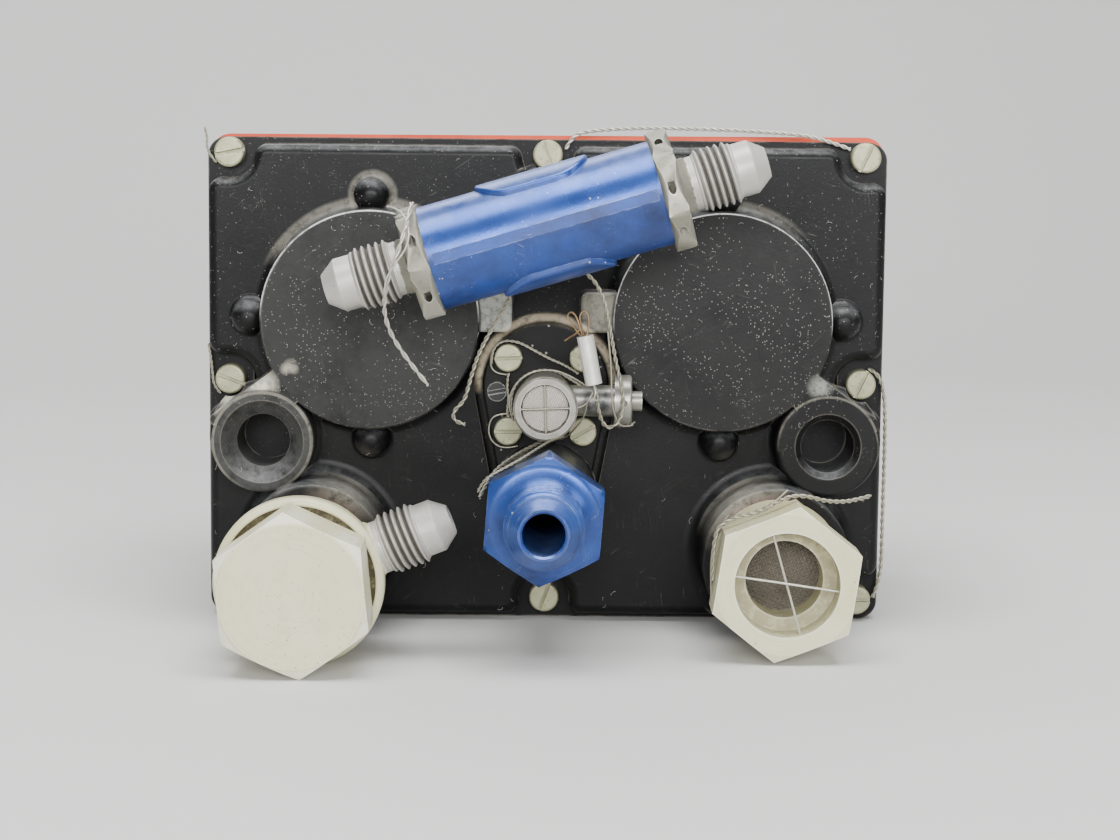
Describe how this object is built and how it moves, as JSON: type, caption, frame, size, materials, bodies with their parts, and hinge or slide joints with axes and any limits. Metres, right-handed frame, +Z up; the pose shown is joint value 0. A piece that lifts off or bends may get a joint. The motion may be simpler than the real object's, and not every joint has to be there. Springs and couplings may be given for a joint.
{
  "type": "outflow valve indicator",
  "caption": "Panel-mounted cabin pressure controller and indicator, seen from its rear cover with hose fittings, in-line filter and lock wires; geared dial and knobs in front.",
  "frame": {"origin": "centre of the main case's bottom face, the face that it rests on", "axes": "+Z up, +X to the right as seen from the back cover, the back cover faces -Y and the dial +Y"},
  "size_m": [0.1305, 0.1382, 0.0957],
  "materials": {
    "black_casting": "satin black paint",
    "red_gasket": "dull orange-red sheet",
    "plated_screw": "dull yellow-green plating",
    "black_screw": "blackened",
    "window_glass": "clear",
    "dial_face": "matte black",
    "knob_black": "matte",
    "brass": "turned",
    "steel": "ground",
    "bare_alloy": "milled",
    "capsule_metal": "pressed",
    "valve_black": "satin black paint",
    "vent_metal": "dull plated",
    "screen_mesh": "woven mesh",
    "lock_wire": "bright wire",
    "blue_anodised": "blue anodised",
    "flare_alloy": "weathered alloy",
    "seal_rubber": "matte",
    "cream_paint": "cream paint",
    "seal_lead": "soft white metal"
  },
  "bodies": {
    "case": {"back_cover": "black_casting", "cover_gasket": "red_gasket", "cover_screws": "plated_screw", "main_case": "black_casting", "face_plate": "black_casting", "face_screws": "black_screw", "window_glass": "window_glass", "dial_bush": "brass", "gear_plate": "bare_alloy", "gear_plate_pillars": "bare_alloy", "gear_plate_screws": "steel", "selector_bush": "brass", "rate_sleeve": "brass", "isobaric_capsule": "capsule_metal", "rate_capsule": "capsule_metal", "beam_pin": "steel", "beam_bracket": "bare_alloy", "metering_jet": "brass", "valve_plate": "valve_black", "valve_plate_screws": "plated_screw", "trim_adjuster": "black_screw", "vent_barrel": "vent_metal", "vent_screen": "screen_mesh", "vent_cross_wires": "lock_wire", "side_adjuster_barrel": "vent_metal", "side_adjuster_nut": "vent_metal", "side_adjuster_screw": "vent_metal", "union_fitting": "blue_anodised", "union_oring": "seal_rubber", "banjo_body": "cream_paint", "banjo_gasket": "red_gasket", "banjo_bolt": "cream_paint", "inlet_fitting": "cream_paint", "inlet_gasket": "red_gasket", "inlet_screen": "screen_mesh", "inlet_cross_wires": "lock_wire", "filter_body": "blue_anodised", "filter_end_left": "flare_alloy", "filter_end_right": "flare_alloy", "filter_element": "screen_mesh", "filter_stem": "flare_alloy", "seal_sleeve": "seal_lead", "top_edge_wire": "lock_wire", "right_edge_wire": "lock_wire", "filter_wire": "lock_wire", "pigtail_wire": "lock_wire", "union_wire": "lock_wire", "inlet_wire": "lock_wire", "seal_wire": "lock_wire"},
    "dial": {"dial_disc": "dial_face", "dial_shaft": "steel", "dial_gear": "brass"},
    "selector": {"selector_knob": "knob_black", "selector_set_screw": "black_screw", "selector_shaft": "steel", "selector_pinion": "brass"},
    "rate": {"rate_knob": "knob_black", "rate_set_screw": "black_screw", "rate_spindle": "steel"},
    "beam": {"metering_beam": "bare_alloy"}
  },
  "joints": [
    {"name": "selector_turn", "type": "hinge", "parent": "case", "child": "selector", "pos_m": [0, 0.034, 0.017], "axis": [0, 1, 0], "range_deg": [-270, 270]},
    {"name": "dial_turn", "type": "hinge", "parent": "case", "child": "dial", "pos_m": [0, 0.028, 0.053], "axis": [0, 1, 0], "range_deg": [-135, 135]},
    {"name": "rate_turn", "type": "hinge", "parent": "case", "child": "rate", "pos_m": [0.04, 0.034, 0.017], "axis": [0, 1, 0], "range_deg": [0, 300]},
    {"name": "beam_tilt", "type": "hinge", "parent": "case", "child": "beam", "pos_m": [0, -0.0269, 0.0585], "axis": [0, 0, 1], "range_deg": [-1.1, 1.1], "stiffness_Nm_per_rad": 0.02}
  ],
  "couplings": [
    {"joint": "dial_turn", "follows": "selector_turn", "ratio": -0.5}
  ]
}
